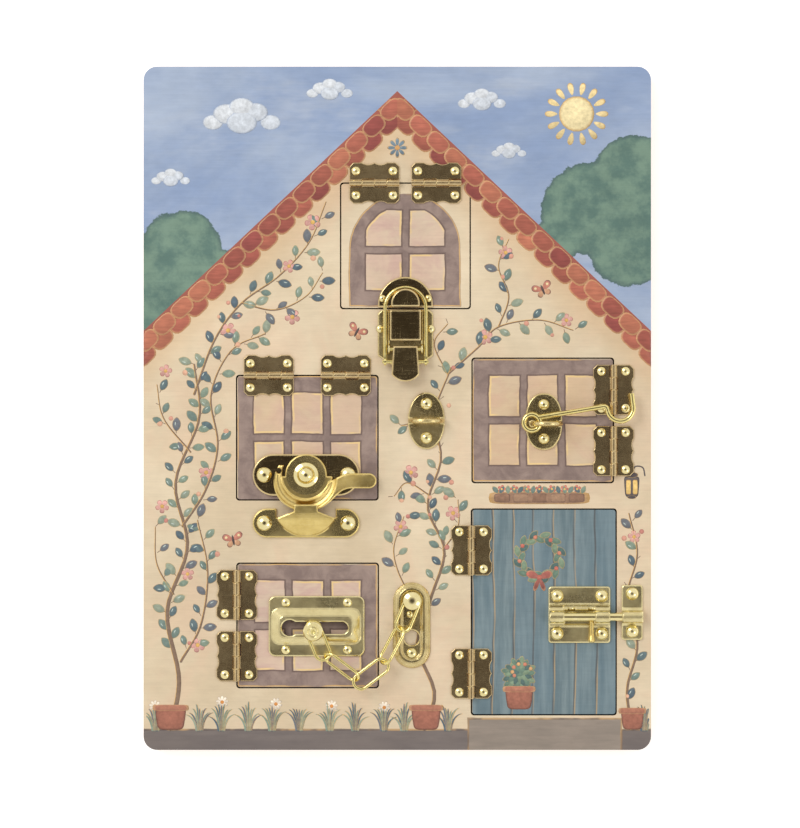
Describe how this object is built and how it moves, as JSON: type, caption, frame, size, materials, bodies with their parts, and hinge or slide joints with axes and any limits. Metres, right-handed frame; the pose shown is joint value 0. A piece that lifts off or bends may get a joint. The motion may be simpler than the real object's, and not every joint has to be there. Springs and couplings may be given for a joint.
{
  "type": "busy board",
  "caption": "Wooden busy board shaped as a flat house front, with five small shutters on brass hinges, each held shut by a different brass latch",
  "frame": {"origin": "Centre of the back face, on the plane that the board rests on", "axes": "X across the board to the right, Y up the board from the ground line to the roof, Z out of the painted face"},
  "size_m": [0.3, 0.404, 0.0254],
  "materials": {
    "plywood": "satin clear coat on birch plywood, saw-cut edges darker",
    "painted_wood": "matt printed paint on plywood",
    "painted_shutter": "matt printed paint on plywood",
    "painted_door": "matt printed paint on plywood",
    "polished_brass": "polished",
    "plated_brass": "bright polished",
    "brass_sheet": "polished pressed sheet"
  },
  "bodies": {
    "board": {"back_panel": "plywood", "front_panel": "painted_wood", "frame_hinge_leaves": "brass_sheet", "hinge_pins": "polished_brass", "frame_hinge_nails": "polished_brass", "toggle_base": "brass_sheet", "toggle_box": "brass_sheet", "toggle_ears": "brass_sheet", "toggle_base_nails": "polished_brass", "toggle_lever_pin": "polished_brass", "sash_keeper": "brass_sheet", "sash_keeper_nails": "polished_brass", "eye_plate": "brass_sheet", "eye_plate_nails": "polished_brass", "anchor_plate": "brass_sheet", "anchor_nails": "polished_brass", "chain_stud": "plated_brass", "bolt_keeper": "brass_sheet", "bolt_keeper_nails": "polished_brass"},
    "gable": {"gable_shutter": "painted_shutter", "gable_hinge_leaves": "brass_sheet", "gable_hinge_nails": "polished_brass", "toggle_catch": "brass_sheet", "toggle_catch_nails": "polished_brass"},
    "left": {"left_shutter": "painted_shutter", "left_hinge_leaves": "brass_sheet", "left_hinge_nails": "polished_brass", "sash_base": "brass_sheet", "sash_base_nails": "polished_brass", "sash_rivet": "plated_brass"},
    "right": {"right_shutter": "painted_shutter", "right_hinge_leaves": "brass_sheet", "right_hinge_nails": "polished_brass", "hook_plate": "brass_sheet", "hook_plate_nails": "polished_brass"},
    "lower": {"lower_shutter": "painted_shutter", "lower_hinge_leaves": "brass_sheet", "lower_hinge_nails": "polished_brass", "slide_plate": "brass_sheet", "slide_plate_nails": "polished_brass"},
    "door": {"front_door": "painted_door", "door_hinge_leaves": "brass_sheet", "door_hinge_nails": "polished_brass", "bolt_plate": "brass_sheet", "bolt_plate_nails": "polished_brass"},
    "lever": {"toggle_lever": "brass_sheet", "toggle_bail_axle": "polished_brass"},
    "bail": {"toggle_bail": "plated_brass"},
    "cam": {"sash_cam": "brass_sheet"},
    "hook": {"wire_hook": "polished_brass"},
    "knob": {"chain_knob": "plated_brass", "chain_knob_rivet": "polished_brass"},
    "link_1": {"chain_link_1": "polished_brass"},
    "link_2": {"chain_link_2": "polished_brass"},
    "link_3": {"chain_link_3": "polished_brass"},
    "link_4": {"chain_link_4": "polished_brass"},
    "link_5": {"chain_link_5": "polished_brass"},
    "bolt": {"bolt_rod": "plated_brass"},
    "handle": {"bolt_handle": "polished_brass"}
  },
  "joints": [
    {"name": "gable_hinge", "type": "hinge", "parent": "board", "child": "gable", "pos_m": [0.0048, 0.1331, 0.014], "axis": [-1, 0, 0], "range_deg": [0, 164]},
    {"name": "left_hinge", "type": "hinge", "parent": "board", "child": "left", "pos_m": [-0.0532, 0.0194, 0.014], "axis": [-1, 0, 0], "range_deg": [0, 164]},
    {"name": "right_hinge", "type": "hinge", "parent": "board", "child": "right", "pos_m": [0.1278, -0.0072, 0.014], "axis": [0, 1, 0], "range_deg": [0, 164]},
    {"name": "lower_hinge", "type": "hinge", "parent": "board", "child": "lower", "pos_m": [-0.0948, -0.1284, 0.014], "axis": [0, -1, 0], "range_deg": [0, 160]},
    {"name": "door_hinge", "type": "hinge", "parent": "board", "child": "door", "pos_m": [0.0438, -0.1204, 0.014], "axis": [0, -1, 0], "range_deg": [0, 164]},
    {"name": "lever_turn", "type": "hinge", "parent": "board", "child": "lever", "pos_m": [0.0048, 0.0349, 0.0162], "axis": [-1, 0, 0], "range_deg": [0, 119]},
    {"name": "bail_turn", "type": "hinge", "parent": "lever", "child": "bail", "pos_m": [0.0048, 0.0274, 0.0162], "axis": [-1, 0, 0], "range_deg": [-110, 0]},
    {"name": "cam_turn", "type": "hinge", "parent": "left", "child": "cam", "pos_m": [-0.0539, -0.0394, 0.014], "axis": [0, 0, 1], "range_deg": [0, 170]},
    {"name": "hook_swing", "type": "hinge", "parent": "right", "child": "hook", "pos_m": [0.08049, -0.0091, 0.0176], "axis": [0, 0, 1], "range_deg": [0, 171]},
    {"name": "knob_slide", "type": "slide", "parent": "lower", "child": "knob", "axis": [1, 0, 0], "range_m": [-0.014, 0.0165]},
    {"name": "link_1_turn", "type": "hinge", "parent": "knob", "child": "link_1", "pos_m": [-0.0495, -0.13034, 0.019], "axis": [0, 0, 1], "range_deg": [-20.8, 17.64]},
    {"name": "link_2_turn", "type": "hinge", "parent": "link_1", "child": "link_2", "pos_m": [-0.04399, -0.14397, 0.019], "axis": [0, 0, 1], "range_deg": [-11.4, 13.5]},
    {"name": "link_3_turn", "type": "hinge", "parent": "link_2", "child": "link_3", "pos_m": [-0.02139, -0.161, 0.019], "axis": [0, 0, 1], "range_deg": [-9.2, 10.9]},
    {"name": "link_4_turn", "type": "hinge", "parent": "link_3", "child": "link_4", "pos_m": [-0.00965, -0.15215, 0.019], "axis": [0, 0, 1], "range_deg": [-6.9, 8.1]},
    {"name": "link_5_turn", "type": "hinge", "parent": "link_4", "child": "link_5", "pos_m": [0.00363, -0.12716, 0.019], "axis": [0, 0, 1], "range_deg": [-3.8, 4.5]},
    {"name": "bolt_slide", "type": "slide", "parent": "door", "child": "bolt", "axis": [-1, 0, 0], "range_m": [0, 0.012]},
    {"name": "handle_turn", "type": "hinge", "parent": "bolt", "child": "handle", "pos_m": [0.1147, -0.1231, 0.016], "axis": [-1, 0, 0], "range_deg": [0, 180]}
  ],
  "couplings": [
    {"joint": "bail_turn", "follows": "lever_turn", "ratio": -0.912},
    {"joint": "hook_swing", "follows": "right_hinge", "ratio": 1.0366},
    {"joint": "knob_slide", "follows": "link_1_turn", "m_per_rad": -0.045438},
    {"joint": "link_2_turn", "follows": "link_1_turn", "ratio": -0.64554},
    {"joint": "link_3_turn", "follows": "link_1_turn", "ratio": -0.52031},
    {"joint": "link_4_turn", "follows": "link_1_turn", "ratio": -0.38818},
    {"joint": "link_5_turn", "follows": "link_1_turn", "ratio": -0.21256}
  ]
}
